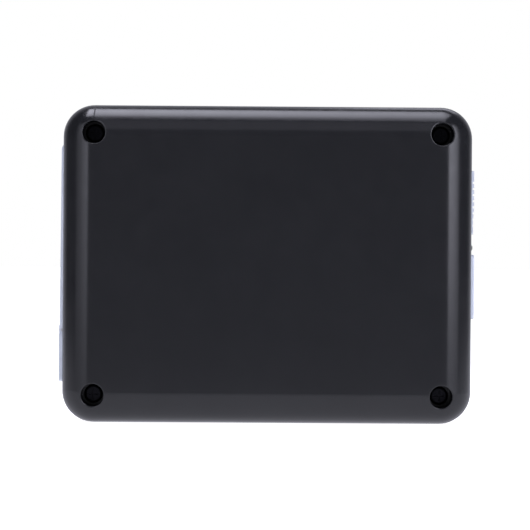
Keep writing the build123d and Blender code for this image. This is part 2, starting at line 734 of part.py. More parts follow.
def tube_parts():
    """Glass, metal sleeve inside it, wire down the middle, and the two end caps."""
    length = TUBE_HALF_L
    glass = tube_rod(-length, length, TUBE_R) - tube_rod(-length - 1, length + 1, TUBE_IN_R)
    sleeve = tube_rod(-SLEEVE_HALF_L, SLEEVE_HALF_L, SLEEVE_R) - tube_rod(-length, length, SLEEVE_IN_R)
    wire = tube_rod(-length, length, ANODE_R)
    caps = []
    for side in (-1, 1):
        cup = tube_rod(side * CAP_FROM, side * TUBE_END_X, CAP_R)
        cup -= tube_rod(side * (CAP_FROM - 1), side * length, TUBE_R + FIT_GAP)
        caps.append(cup + tube_rod(side * TUBE_END_X, side * TUBE_PIN_END_X, TUBE_PIN_R))
    return glass, sleeve, wire, caps


def tube_clips():
    """Two spring clips, open at the top, each on a foot soldered to the board."""
    inner = CAP_R + 0.05
    clips = []
    for x in (-CLIP_X, CLIP_X):
        x0, x1 = x - CLIP_W / 2, x + CLIP_W / 2
        ring = tube_rod(x0, x1, inner + CLIP_T) - tube_rod(x0 - 1, x1 + 1, inner)
        mouth_y0, mouth_y1 = TUBE_Y - CLIP_MOUTH_HALF, TUBE_Y + CLIP_MOUTH_HALF
        ring -= block(x0 - 1, x1 + 1, mouth_y0, mouth_y1, TUBE_Z, TUBE_Z + 8)
        neck_y0, neck_y1 = TUBE_Y - CLIP_NECK_HALF, TUBE_Y + CLIP_NECK_HALF
        neck = block(x0, x1, neck_y0, neck_y1, CLIP_T - 0.1, TUBE_Z - inner - 0.15)
        foot = block(x0 - 1, x1 + 1, TUBE_Y - CLIP_FOOT_HALF, TUBE_Y + CLIP_FOOT_HALF, 0, CLIP_T)
        clips.append(ring + neck + foot)
    return clips


# --- Side controls, lights and port ---


def side_key():
    """The long key in the left wall, with its inner rim and stem."""
    y0, y1 = SIDE_KEY_YS
    z0, z1 = SIDE_Z - SIDE_KEY_H / 2, SIDE_Z + SIDE_KEY_H / 2
    cap = block(-SIDE_X - SIDE_KEY_PROUD, SIDE_KEY_RIM_X, y0, y1, z0, z1)
    cap = fillet(cap.edges().filter_by(Axis.X), 1.2)
    cap = fillet(cap.faces().sort_by(Axis.X)[0].edges(), 0.4)
    rim_end, over = SIDE_KEY_RIM_X + SIDE_KEY_RIM_T, SIDE_KEY_RIM
    rim = block(SIDE_KEY_RIM_X, rim_end, y0 - over, y1 + over, z0 - over, z1 + over)
    return cap + rim + rod_x(rim_end, SIDE_KEY_STEM_X, (y0 + y1) / 2, SIDE_Z, 1.3)


def side_key_plunger():
    """The switch plunger that the side key pushes."""
    return rod_x(SIDE_KEY_STEM_X, -51.6, sum(SIDE_KEY_YS) / 2, SIDE_Z, SIDE_PLUNGER_R)


def side_rocker():
    """The rocker in the left wall: grooved outside, bored for its pin, with an arm over each switch."""
    y0, y1 = ROCKER_YS
    middle = rocker_middle()
    z0, z1 = SIDE_Z - SIDE_KEY_H / 2, SIDE_Z + SIDE_KEY_H / 2
    high, low = -SIDE_X - ROCKER_PROUD, -SIDE_X - ROCKER_LOW_PROUD
    inner = ROCKER_PIVOT_X - 0.8
    outer = ((low, y0), (low, y0 + 4), (high, y1 - 11), (high, y1))
    rocker = plate(make_face(Polyline((inner, y0), *outer, (inner, y1), close=True)), z0, z1)
    rocker = fillet(rocker.edges().filter_by(Axis.X), 1.0)
    for i in range(GROOVES):
        y = y0 + 2.6 + i * GROOVE_PITCH
        rocker -= block(high - 1, high + GROOVE_DEPTH, y - GROOVE_HALF, y + GROOVE_HALF, z0 - 1, z1 + 1)
    hub = post(ROCKER_PIVOT_X, middle, z0, z1, ROCKER_HUB_R)
    arms = [
        block(inner - 0.2, -54.5, y - 1.1, y + 1.1, SIDE_Z - 1.2, SIDE_Z + 1.2)
        for y in (middle - ROCKER_ARM, middle + ROCKER_ARM)
    ]
    return rocker + hub + arms - post(ROCKER_PIVOT_X, middle, z0 - 1, z1 + 1, ROCKER_BORE_R)


def rocker_pin():
    """The steel pin through both ears and the rocker."""
    (z0, _), (_, z1) = rocker_ear_zs()
    return post(ROCKER_PIVOT_X, rocker_middle(), z0, z1, ROCKER_PIN_R)


def light_pipe():
    """A thin clear rod from the status lamp out through the left wall, with a rounded end."""
    rod = rod_x(-SIDE_X - LIGHT_PIPE_PROUD, LIGHT_PIPE_END_X, LIGHT_PIPE_Y, SIDE_Z, LIGHT_PIPE_R)
    return fillet(rod.faces().sort_by(Axis.X)[0].edges(), LIGHT_PIPE_R / 2)


def light_bar():
    """The pale strip along the right wall: two studs reach the lamps, and cheeks hold the flap's pin."""
    y0, y1 = STRIP_YS
    seat = SIDE_X - STRIP_SEAT
    low, high = SIDE_X + STRIP_PROUD[0], SIDE_X + STRIP_PROUD[1]
    end_x, end_y = high - STRIP_SLOPE[0], y1 - STRIP_SLOPE[1]
    outline = Polyline((seat, y0), (low, y0), (high, end_y), (end_x, y1), (seat, y1), close=True)
    half = STRIP_W / 2
    bar = plate(make_face(outline), SIDE_Z - half, SIDE_Z + half)
    bar = fillet(bar.edges().filter_by(Axis.X).group_by(Axis.Y)[-1], STRIP_END_ROUND)
    bar += [rod_x(STUD_END_X, seat + 0.1, y, SIDE_Z, STUD_R) for y in STUD_YS]
    x, y, radius = flap_pivot()
    for z0 in (SIDE_Z - half, SIDE_Z + half - CHEEK_W):
        bar += block(x - radius, x + radius, y, y0 + 0.3, z0, z0 + CHEEK_W)
        bar += post(x, y, z0, z0 + CHEEK_W, radius)
    return bar - flap_pin(FLAP_PIN_R + FIT_GAP, 1.0)


def flap_pivot():
    """The centre of the flap's knuckle, and its radius."""
    thickness = FLAP_PROUD + STRIP_SEAT
    return SIDE_X - STRIP_SEAT + thickness / 2, FLAP_YS[1] - thickness / 2, thickness / 2


def flap_pin(radius=FLAP_PIN_R, extra=0.0):
    """The pin through the knuckle and both cheeks, or with extra length the bore for it."""
    x, y, _ = flap_pivot()
    reach = STRIP_W / 2 + extra
    return post(x, y, SIDE_Z - reach, SIDE_Z + reach, radius)


def port_flap():
    """The cover over the socket: a leaf with a nail scoop, a knuckle between the cheeks, a plug behind."""
    x, y, radius = flap_pivot()
    half = STRIP_W / 2
    leaf = block(x - radius, x + radius, FLAP_YS[0], FLAP_SHOULDER_Y, SIDE_Z - half, SIDE_Z + half)
    leaf = fillet(leaf.faces().sort_by(Axis.Y)[0].edges().filter_by(Axis.X), 1.0)
    inside = half - CHEEK_W - 0.1
    neck = block(x - radius, x + radius, FLAP_SHOULDER_Y - 0.1, y, SIDE_Z - inside, SIDE_Z + inside)
    knuckle = post(x, y, SIDE_Z - inside, SIDE_Z + inside, radius)
    port_z = port_centre_z()
    plug_y0, plug_y1 = PORT_Y - FLAP_PLUG_HALF_W, PORT_Y + FLAP_PLUG_HALF_W
    plug_z0, plug_z1 = port_z - FLAP_PLUG_HALF_H, port_z + FLAP_PLUG_HALF_H
    plug = block(FLAP_PLUG_X, x - radius, plug_y0, plug_y1, plug_z0, plug_z1)
    scoop_x = x + radius - FLAP_SCOOP_DEPTH + FLAP_SCOOP_R
    scoop = Pos(scoop_x, FLAP_YS[0] + 2.4, SIDE_Z) * Sphere(FLAP_SCOOP_R)
    return leaf + neck + knuckle + plug - scoop - flap_pin(FLAP_PIN_R + 0.05, 1.0)


def usb_socket():
    """The charging socket: a flat metal shell with a tongue inside."""
    z = port_centre_z()
    x0, x1 = PORT_XS
    inner_w, inner_h = PORT_W - 2 * PORT_SKIN, PORT_H - 2 * PORT_SKIN
    section = Plane.YZ.offset(x0) * Pos(PORT_Y, z) * RectangleRounded(PORT_W, PORT_H, PORT_R)
    mouth = Plane.YZ.offset(x0 + PORT_BACK) * Pos(PORT_Y, z)
    mouth *= RectangleRounded(inner_w, inner_h, PORT_R - PORT_SKIN)
    shell = extrude(section, x1 - x0, dir=(1, 0, 0)) - extrude(mouth, x1 - x0, dir=(1, 0, 0))
    tongue_y0, tongue_y1 = PORT_Y - TONGUE_HALF_W, PORT_Y + TONGUE_HALF_W
    return shell + block(*TONGUE_XS, tongue_y0, tongue_y1, z - TONGUE_HALF_T, z + TONGUE_HALF_T)


def side_lamps():
    """The lamps behind the light bar's studs, and the one behind the light pipe."""
    bar_z, status_z = LAMP_TOP_Z
    bar = [block(*BAR_LAMP_XS, y - BAR_LAMP_HALF, y + BAR_LAMP_HALF, bar_z, BOARD_BACK) for y in STUD_YS]
    y0, y1 = LIGHT_PIPE_Y - STATUS_LAMP_HALF, LIGHT_PIPE_Y + STATUS_LAMP_HALF
    return bar, block(*STATUS_LAMP_XS, y0, y1, status_z, BOARD_BACK)


# --- Battery ---


def battery():
    """The pouch cell, with soft edges, on its strip of tape."""
    z0 = REAR_IN + BATTERY_LIFT
    y0, y1 = BATTERY_Y - BATTERY_H / 2, BATTERY_Y + BATTERY_H / 2
    cell = block(-BATTERY_W / 2, BATTERY_W / 2, y0, y1, z0, z0 + BATTERY_T)
    tape_y0, tape_y1 = BATTERY_Y - TAPE_PAD_HALF_H, BATTERY_Y + TAPE_PAD_HALF_H
    tape = block(-TAPE_PAD_HALF_W, TAPE_PAD_HALF_W, tape_y0, tape_y1, REAR_IN, z0)
    return fillet(cell.edges().filter_by(Axis.Y), BATTERY_EDGE_R), tape


def battery_connector():
    """The socket on the back of the board, and the plug in it."""
    (x0, x1), (y0, y1) = JACK_XS, JACK_YS
    socket = block(x0, x1, y0, y1, JACK_BOTTOM_Z, BOARD_BACK)
    socket -= block(x0 + JACK_SKIN, x1 - JACK_SKIN, y0 + JACK_SHELL, y1 + JACK_SHELL, *JACK_HOLLOW_ZS)
    return socket, block(*PLUG_XS, PLUG_START_Y, PLUG_END_Y, *PLUG_ZS)


def battery_lead(x):
    """One soft lead from the cell's edge, in an easy S, to the plug."""
    start_y = BATTERY_Y - BATTERY_H / 2
    cell_z, plug_z = REAR_IN + BATTERY_LIFT + BATTERY_T / 2, -4.5
    points = [
        Vector(x, start_y, cell_z),
        Vector(x, start_y - 3.0, cell_z),
        Vector(x, start_y - 6.3, plug_z),
        Vector(x, PLUG_END_Y, plug_z),
    ]
    section = Plane(origin=points[0], z_dir=points[1] - points[0]) * Circle(LEAD_R)
    return sweep(section, path=FilletPolyline(*points, radius=LEAD_BEND_R))


def build():
    """Makes every node."""
    os.makedirs("parts", exist_ok=True)
    put("rear_cover", rear_cover())
    put("front_cover", front_cover())
    put("case_screws", *case_screws())
    put("display_lens", display_lens())
    put("lens_tape", lens_tape())
    put("lcd_bezel", lcd_bezel())
    light, glass = lcd_stack()
    put("lcd_backlight", light)
    put("lcd_glass", glass)
    put("lcd_board", lcd_board())
    strip, pins = lcd_header()
    put("lcd_header", strip)
    put("lcd_header_pins", *pins)
    for name, pieces in zip(("lcd_spacers", "lcd_screws", "lcd_nuts"), lcd_fasteners()):
        put(name, *pieces)
    put("main_board", main_board())
    put("board_screws", *board_screws())
    bodies = []
    for key, x in KEY_XS.items():
        body, plunger = key_switch(x)
        bodies.append(body)
        put(f"{key}_key", key_cap(x))
        put(f"{key}_key_plunger", plunger)
    put("key_switches", *bodies)
    put("side_switches", *side_switches())
    for name, pieces in small_parts().items():
        put(name, *pieces)
    put("sounder", sounder())
    lamp, legs = count_lamp()
    put("count_lamp", lamp)
    put("count_lamp_legs", *legs)
    tube, sleeve, wire, caps = tube_parts()
    put("tube_glass", tube)
    put("tube_sleeve", sleeve)
    put("tube_wire", wire)
    put("tube_caps", *caps)
    put("tube_clips", *tube_clips())
    put("side_key", side_key())
    put("side_key_plunger", side_key_plunger())
    put("side_rocker", side_rocker())
    put("rocker_pin", rocker_pin())
    put("light_pipe", light_pipe())
    put("light_bar", light_bar())
    put("port_flap", port_flap())
    put("flap_pin", flap_pin())
    put("usb_socket", usb_socket())
    bar_lamps, status_lamp = side_lamps()
    put("bar_lamps", *bar_lamps)
    put("status_lamp", status_lamp)
    cell, tape = battery()
    put("battery", cell)
    put("battery_tape", tape)
    socket, plug = battery_connector()
    put("battery_socket", socket)
    put("battery_plug", plug)
    for colour, x in LEAD_XS.items():
        put(f"battery_lead_{colour}", battery_lead(x))


build()
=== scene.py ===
import json
import math

import bmesh
import bpy
from mathutils import Matrix, Vector


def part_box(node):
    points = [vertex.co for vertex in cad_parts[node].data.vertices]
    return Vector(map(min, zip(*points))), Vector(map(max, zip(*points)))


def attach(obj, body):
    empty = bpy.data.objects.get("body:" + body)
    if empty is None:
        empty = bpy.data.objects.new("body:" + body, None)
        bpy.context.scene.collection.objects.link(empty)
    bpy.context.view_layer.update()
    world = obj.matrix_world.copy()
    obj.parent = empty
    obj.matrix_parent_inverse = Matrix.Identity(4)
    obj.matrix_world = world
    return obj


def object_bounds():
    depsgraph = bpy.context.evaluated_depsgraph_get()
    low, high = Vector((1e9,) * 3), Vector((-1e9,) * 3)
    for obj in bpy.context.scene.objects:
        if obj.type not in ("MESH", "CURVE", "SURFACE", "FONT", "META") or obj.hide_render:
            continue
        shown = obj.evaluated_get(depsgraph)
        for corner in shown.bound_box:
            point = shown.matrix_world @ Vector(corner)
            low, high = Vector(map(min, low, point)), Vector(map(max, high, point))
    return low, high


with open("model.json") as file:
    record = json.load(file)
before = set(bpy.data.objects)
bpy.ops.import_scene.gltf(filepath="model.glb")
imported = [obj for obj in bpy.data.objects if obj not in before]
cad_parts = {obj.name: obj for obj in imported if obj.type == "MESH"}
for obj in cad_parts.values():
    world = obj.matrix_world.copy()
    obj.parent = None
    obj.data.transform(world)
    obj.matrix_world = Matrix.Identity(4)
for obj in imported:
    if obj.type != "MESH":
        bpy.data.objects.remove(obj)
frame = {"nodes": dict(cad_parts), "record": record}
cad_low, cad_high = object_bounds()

# The looks of a handheld Geiger counter, in metres: +Z up, the display faces -Y, the plain rear faces +Y.
# The CAD nodes keep their shapes and get materials here. What is added is thin print and the display's reading.

MM = 0.001
NODES = frame["nodes"]

# The hairline where two fronts of plastic met: X = FLOW_X - FLOW_LEAN * Z, kept to the upper rear edge round.
FLOW_X = 0.06165
FLOW_LEAN = 0.12
FLOW_FADE = (0.00004, 0.00016)
FLOW_FROM_Z = (0.0855, 0.0875)
FLOW_FROM_Y = (0.006, 0.008)
FLOW_DEPTH = 0.00012

# The reading, in millimetres from the middle of the display's glass. A digit has its width, height, stroke and
# pitch, and each group has the place of its middle.
BIG_DIGIT = (9.0, 15.5, 1.9, 12.2)
SMALL_DIGIT = (2.9, 4.8, 0.6, 4.0)
DIGIT_SLANT = 0.08
DIGIT_GAP = 0.00008
WHOLE_AT = (-20.9, -0.6)
TENTHS_AT = (4.5, -0.6)
POINT_AT = (-8.2, -7.6)
POINT_SIZE = 1.7
PULSES_AT = (24.5, 4.4)
PULSE_MARK_AT = (24.6, 10.6)
BATTERY_AT = (-28.5, 11.2)
SOUND_AT = (-19.5, 11.2)
UNIT_AT = (16.8, -7.8)
UNIT_SIZE = 6.6
BAR_CELLS = 32
BAR_CELLS_LIT = 9
BAR_PITCH = 1.95
BAR_Z = -12.0
BAR_CELL = (1.5, 2.0)
INK_THICKNESS = 0.02 * MM
INK_LIFT = 0.03 * MM
CELL_MARK = (6.4, 3.0)
CELL_LINE = 0.35
CELL_NOSE = (0.6, 1.3)
CELL_FILLS = 4
CELL_FILLS_LIT = 3
CELL_FILL_PITCH = 1.38
CELL_FILL_WIDTH = 1.05
PULSE_LINE = 0.4
PULSE_HEIGHT = 2.4
PULSE_STEP = 1.4
WAVE_RADII = (1.1, 1.9)
WAVE_LINE = 0.32

# The marks on the keys and the contacts in the socket, in millimetres from the middle of each.
MENU_LINE = (4.6, 0.6)
MENU_LINE_ZS = (-1.3, 0.0, 1.3)
ARROW = ((-2.0, 1.1), (0.0, -1.3), (2.0, 1.1))
SUN_R = 1.05
SUN_RAYS = 8
SUN_RAY_FROM_MIDDLE = 1.95
SUN_RAY = (0.9, 0.38)
MARK_THICKNESS = 0.04 * MM
CONTACTS = 12
CONTACT_PITCH = 0.5
CONTACT_SIZE = (3.4, 0.04, 0.26)
CONTACT_FROM_MOUTH = 2.9
CONTACT_FROM_MIDDLE = 0.36

# The studio. Tints are the colour of a light over its strength; a ramp's stops are (place, strength).
LAMP_TINT = (0.93, 0.93, 1.07)
ROOM_TINT = (0.97, 0.97, 1.1)
ROOM_STOPS = ((0.05, 0.5), (0.13, 0.42), (0.20, 0.2), (0.29, 0.06), (0.85, 0.05), (0.99, 0.105))
CARD_STOPS = ((0.0, 0.80), (0.18, 0.74), (0.34, 0.36), (1.0, 0.25))
CARD_FADE_Y = (0.02, 0.3)
FLOOR_HALF = 15.0
FLOOR_Z = -0.0002
CARD_Z = -0.0005
OVERHEAD_TURN = -17
OVERHEAD_ACROSS = (0.6, 1.9)
# Each lamp overhead: name, place from the object's middle, width and height, radiance.
OVERHEAD_LAMPS = (
    ("overhead", (0, -0.07, 0.8), (0.66, 0.57), 2.8),
    ("overhead_middle", (0, -0.04, 0.79), (0.6, 0.30), 1.1),
)
# Each lamp round the object: name, (distance, azimuth, elevation), width and height, radiance, change across.
LAMPS = (
    ("front_high", (0.9, 0, 44), (0.9, 0.55), 0.38, (1.0, 1.0)),
    ("side_plus_x", (0.75, 47, 12), (0.60, 0.80), 0.95, (0.4, 1.2)),
    ("side_plus_x_upper", (0.73, 42, 23), (0.48, 0.60), 0.70, (0.2, 1.6)),
    ("side_minus_x", (0.75, -48, 12), (0.56, 0.80), 1.75, (1.15, 0.55)),
    ("side_minus_x_upper", (0.73, -45, 23), (0.42, 0.60), 2.3, (1.1, 0.8)),
    ("high_behind", (0.95, -160, 41), (0.4, 0.2), 1.2, (1.0, 1.0)),
)
CAMERA_DISTANCE = 0.95
CAMERA_TURN = 0.8
CAMERA_RISE = 0.1
CAMERA_ROLL = 0.39
CAMERA_LENS = 217.85
CAMERA_SENSOR = 36.0
CAMERA_AIM = (0.00055, 0.0, -0.00012)

scene = bpy.context.scene
scene.view_settings.view_transform = "Standard"


# --- Mesh tools ---


def finish_piece(name, mesh, material, body):
    """Makes an object of the mesh, gives it its material and fastens it to a CAD body."""
    piece = bpy.data.objects.new(name, mesh)
    scene.collection.objects.link(piece)
    mesh.materials.append(material)
    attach(piece, body)
    return piece


def print_layer(name, outlines, front_y, thickness, material, body):
    """Thin closed shapes that face -Y. Each outline is a list of (x, z) points round the shape."""
    bm = bmesh.new()
    for outline in outlines:
        front = [bm.verts.new((x, front_y, z)) for x, z in outline]
        back = [bm.verts.new((x, front_y + thickness, z)) for x, z in outline]
        bm.faces.new(front)
        bm.faces.new(back[::-1])
        for i in range(len(outline)):
            j = (i + 1) % len(outline)
            bm.faces.new((front[i], back[i], back[j], front[j]))
    bmesh.ops.recalc_face_normals(bm, faces=bm.faces)
    mesh = bpy.data.meshes.new(name)
    bm.to_mesh(mesh)
    bm.free()
    return finish_piece(name, mesh, material, body)


def rectangle(x, z, width, height):
    """A rectangle centred on x, z."""
    w, h = width / 2, height / 2
    return [(x - w, z - h), (x + w, z - h), (x + w, z + h), (x - w, z + h)]


def disc(x, z, radius, count=32):
    """A round outline."""
    turns = [2 * math.pi * i / count for i in range(count)]
    return [(x + radius * math.cos(t), z + radius * math.sin(t)) for t in turns]


def moved(outline, x=0.0, z=0.0, turn=0.0, slant=0.0):
    """The outline turned about the origin, slanted to the right as it rises, and moved."""
    c, s = math.cos(turn), math.sin(turn)
    turned = [(px * c - pz * s, px * s + pz * c) for px, pz in outline]
    return [(px + slant * pz + x, pz + z) for px, pz in turned]


# --- Material tools ---


def principled(name, colour, roughness, **sockets):
    """A material with one Principled shader. Values that are the same all over are set on its own sockets."""
    material = bpy.data.materials.new(name)
    material.use_nodes = True
    shader = material.node_tree.nodes["Principled BSDF"]
    shader.inputs["Base Color"].default_value = (*colour, 1.0)
    shader.inputs["Roughness"].default_value = roughness
    for socket, value in sockets.items():
        shader.inputs[socket.replace("_", " ")].default_value = value
    return material


def add(material, kind, **settings):
    """A node in the material, with its input values or properties set by name."""
    node = material.node_tree.nodes.new(kind)
    for key, value in settings.items():
        socket = key.replace("_", " ")
        if socket in node.inputs:
            node.inputs[socket].default_value = value
        else:
            setattr(node, key, value)
    return node


def wire(material, *route):
    """Joins sockets in pairs: output, input, output, input."""
    for output, target in zip(route[::2], route[1::2]):
        material.node_tree.links.new(output, target)


def shader_of(material):
    """The material's own shader."""
    return material.node_tree.nodes["Principled BSDF"]


def place_of(material):
    """Where a point is in the part's own frame, in metres."""
    return add(material, "ShaderNodeTexCoord").outputs["Object"]


def noise(material, scale, detail=2.0, stretch=None, rough=0.5):
    """Noise in the part's frame; scale is per metre. stretch is a factor on each axis."""
    texture = add(material, "ShaderNodeTexNoise", Scale=scale, Detail=detail, Roughness=rough)
    place = place_of(material)
    if stretch:
        mapping = add(material, "ShaderNodeMapping", Scale=stretch)
        wire(material, place, mapping.inputs["Vector"], mapping.outputs["Vector"], texture.inputs["Vector"])
    else:
        wire(material, place, texture.inputs["Vector"])
    return texture.outputs["Fac"]


def spread(material, value, low, high, start=0.3, stop=0.7):
    """The value carried from start..stop to low..high, and held inside them."""
    node = add(material, "ShaderNodeMapRange")
    for key, number in (("From Min", start), ("From Max", stop), ("To Min", low), ("To Max", high)):
        node.inputs[key].default_value = number
    wire(material, value, node.inputs["Value"])
    return node.outputs["Result"]


def fill_ramp(node, stops, tint):
    """Sets a colour ramp's stops to strengths of one tint."""
    elements = node.color_ramp.elements
    while len(elements) < len(stops):
        elements.new(0.5)
    for element, (position, level) in zip(elements, stops):
        element.position = position
        element.color = (*(level * part for part in tint), 1.0)


def colour_between(material, value, low, high):
    """Paints the shader's colour from low to high as the value goes from 0 to 1."""
    ramp = add(material, "ShaderNodeValToRGB")
    ramp.color_ramp.elements[0].color = (*low, 1.0)
    ramp.color_ramp.elements[1].color = (*high, 1.0)
    wire(material, value, ramp.inputs["Fac"], ramp.outputs["Color"], shader_of(material).inputs["Base Color"])


def bump(material, height, distance, strength=1.0):
    """Adds a bump to what the shader already has; distance is the relief in metres."""
    shader = shader_of(material)
    node = add(material, "ShaderNodeBump", Strength=strength, Distance=distance)
    if shader.inputs["Normal"].links:
        wire(material, shader.inputs["Normal"].links[0].from_socket, node.inputs["Normal"])
    wire(material, height, node.inputs["Height"], node.outputs["Normal"], shader.inputs["Normal"])


def tune_roughness(material, low, high, scale, detail=3.0):
    """Lets the roughness drift between two values over the surface."""
    value = spread(material, noise(material, scale, detail), low, high)
    wire(material, value, shader_of(material).inputs["Roughness"])


# --- Materials ---


def black_shell():
    """Satin moulded plastic: fine spark-eroded grain, faint cloudiness and one flow line."""
    material = principled("satin_black_shell", (0.0093, 0.0097, 0.0113), 0.2, IOR=1.5)
    cloud = spread(material, noise(material, 90.0, 4.0), 0.0, 1.0)
    colour_between(material, cloud, (0.0087, 0.0091, 0.0107), (0.0098, 0.0102, 0.0119))
    tune_roughness(material, 0.17, 0.24, 260.0)
    bump(material, noise(material, 5200.0, 3.0), 0.000004, 0.5)
    bump(material, noise(material, 130.0, 1.0), 0.00002, 0.5)
    flow_line(material)
    return material


def flow_line(material):
    """A hair-thin line over the upper rear edge, where two fronts of plastic met, near the +X corner."""
    split = add(material, "ShaderNodeSeparateXYZ")
    wire(material, place_of(material), split.inputs["Vector"])
    lean = add(material, "ShaderNodeMath", operation="MULTIPLY_ADD")
    lean.inputs[1].default_value = FLOW_LEAN
    lean.inputs[2].default_value = -FLOW_X
    wire(material, split.outputs["Z"], lean.inputs[0])
    offset = add(material, "ShaderNodeMath", operation="ADD")
    wire(material, split.outputs["X"], offset.inputs[0], lean.outputs["Value"], offset.inputs[1])
    away = add(material, "ShaderNodeMath", operation="ABSOLUTE")
    wire(material, offset.outputs["Value"], away.inputs[0])
    height = spread(material, away.outputs["Value"], 0.0, 1.0, *FLOW_FADE)
    for axis, edge in (("Z", FLOW_FROM_Z), ("Y", FLOW_FROM_Y)):
        outside = spread(material, split.outputs[axis], 1.0, 0.0, *edge)
        higher = add(material, "ShaderNodeMath", operation="MAXIMUM")
        wire(material, height, higher.inputs[0], outside, higher.inputs[1])
        height = higher.outputs["Value"]
    bump(material, height, FLOW_DEPTH)


def pale_plastic():
    """Pale blue-grey moulded plastic with a soft grain."""
    material = principled("pale_plastic", (0.54, 0.58, 0.67), 0.38, IOR=1.5)
    shade = spread(material, noise(material, 160.0, 3.0), 0.0, 1.0)
    colour_between(material, shade, (0.51, 0.55, 0.64), (0.57, 0.61, 0.70))
    tune_roughness(material, 0.32, 0.46, 500.0)
    bump(material, noise(material, 6000.0, 2.0), 0.000006, 0.5)
    return material


def plain_plastic(name, colour, roughness=0.4, grain=4000.0):
    """Any other moulded plastic: a little uneven in colour, with a fine grain."""
    material = principled(name, colour, roughness, IOR=1.5)
    shade = spread(material, noise(material, 300.0, 3.0), 0.0, 1.0)
    colour_between(material, shade, [c * 0.9 for c in colour], [min(1.0, c * 1.08) for c in colour])
    tune_roughness(material, roughness * 0.85, roughness * 1.15, 700.0)
    bump(material, noise(material, grain, 2.0), 0.000006, 0.5)
    return material


def metal(name, colour, roughness, stretch=None, depth=0.000003):
    """Bare or plated metal, with fine marks along one axis if stretch is given."""
    material = principled(name, colour, roughness, Metallic=1.0)
    marks = noise(material, 2500.0, 4.0, stretch)
    shade = spread(material, marks, 0.0, 1.0)
    colour_between(material, shade, [c * 0.86 for c in colour], colour)
    tune_roughness(material, roughness * 0.8, roughness * 1.25, 900.0)
    bump(material, marks, depth, 0.6)
    return material


def clear(name, tint, roughness, ior):
    """Clear plastic or glass with a trace of unevenness in its polish."""
    material = principled(name, tint, roughness, IOR=ior, Transmission_Weight=1.0)
    tune_roughness(material, roughness * 0.6, roughness * 1.6, 120.0)
    bump(material, noise(material, 60.0, 1.0), 0.000006, 0.4)
    return material


def display_glass():
    """The display's grey-green reflective ground, with a painted glow in place of the light that the clear
    window keeps off it, brighter towards its middle.
    """
    material = principled("display_ground", (0.40, 0.46, 0.37), 0.3, IOR=1.5)
    mapping = add(material, "ShaderNodeMapping", vector_type="TEXTURE")
    mapping.inputs["Location"].default_value = cad_mid(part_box("lcd_glass"))
    mapping.inputs["Scale"].default_value = (0.055, 0.055, 0.035)
    # Painted pool of light on the display: the glow is brightest at the middle of its glass.
    glow = add(material, "ShaderNodeTexGradient", gradient_type="SPHERICAL")
    wire(material, place_of(material), mapping.inputs["Vector"])
    wire(material, mapping.outputs["Vector"], glow.inputs["Vector"])
    ramp = add(material, "ShaderNodeValToRGB")
    ramp.color_ramp.elements[0].color = (0.20, 0.245, 0.19, 1.0)
    ramp.color_ramp.elements[1].color = (0.42, 0.50, 0.38, 1.0)
    shader = shader_of(material)
    wire(material, glow.outputs["Fac"], ramp.inputs["Fac"])
    wire(material, ramp.outputs["Color"], shader.inputs["Emission Color"])
    shader.inputs["Emission Strength"].default_value = 0.55
    bump(material, noise(material, 9000.0, 1.0), 0.000004, 0.3)
    return material


def cad_mid(corners):
    """The middle of a box."""
    return (corners[0] + corners[1]) / 2


def circuit_board():
    """Green solder mask: copper tracks show as raised lighter lines under it."""
    material = principled("green_board", (0.015, 0.12, 0.06), 0.28, IOR=1.5, Coat_Weight=0.3)
    tracks = add(material, "ShaderNodeTexBrick", offset=0.5, Scale=210.0)
    tracks.inputs["Mortar Size"].default_value = 0.045
    tracks.inputs["Mortar Smooth"].default_value = 0.3
    turned = add(material, "ShaderNodeMapping")
    turned.inputs["Rotation"].default_value = (math.radians(90), 0, 0)
    wire(material, place_of(material), turned.inputs["Vector"])
    wire(material, turned.outputs["Vector"], tracks.inputs["Vector"])
    colour_between(material, tracks.outputs["Fac"], (0.012, 0.10, 0.05), (0.03, 0.21, 0.10))
    tune_roughness(material, 0.22, 0.36, 300.0)
    bump(material, tracks.outputs["Fac"], 0.00003)
    return material


def winding():
    """Enamelled wire: fine turns round the coil's axis, which lies along Y. The grooves between turns are
    painted darker: painted shade.
    """
    material = principled("copper_winding", (0.72, 0.32, 0.14), 0.3, Metallic=1.0)
    turns = add(material, "ShaderNodeTexWave", bands_direction="Y", Scale=700.0, Distortion=0.4)
    wire(material, place_of(material), turns.inputs["Vector"])
    # Painted shade: darker in the grooves between turns, full copper colour on their crests.
    colour_between(material, turns.outputs["Fac"], (0.34, 0.12, 0.05), (0.78, 0.37, 0.17))
    bump(material, turns.outputs["Fac"], 0.00008)
    return material


def foil():
    """The battery's soft foil pouch: broad shallow creases and a fine sheen. The hollows of the creases are
    painted darker: painted shade.
    """
    material = principled("pouch_foil", (0.72, 0.73, 0.75), 0.34, Metallic=1.0)
    creases = noise(material, 120.0, 5.0, (1.0, 1.0, 0.4))
    shade = spread(material, creases, 0.0, 1.0)
    # Painted shade: the colour follows the crease height, darker in the hollows.
    colour_between(material, shade, (0.62, 0.63, 0.65), (0.78, 0.79, 0.80))
    bump(material, creases, 0.0004, 0.6)
    return material


def tape_material():
    """Pale foam tape with open cells, each cell's pit painted darker: painted shade."""
    material = principled("foam_tape", (0.80, 0.78, 0.70), 0.8)
    cells = add(material, "ShaderNodeTexVoronoi", Scale=2600.0)
    wire(material, place_of(material), cells.inputs["Vector"])
    # Painted shade: the colour follows the cell depth, darker in each pit.
    colour_between(material, cells.outputs["Distance"], (0.60, 0.58, 0.52), (0.84, 0.82, 0.75))
    bump(material, cells.outputs["Distance"], 0.00005)
    return material


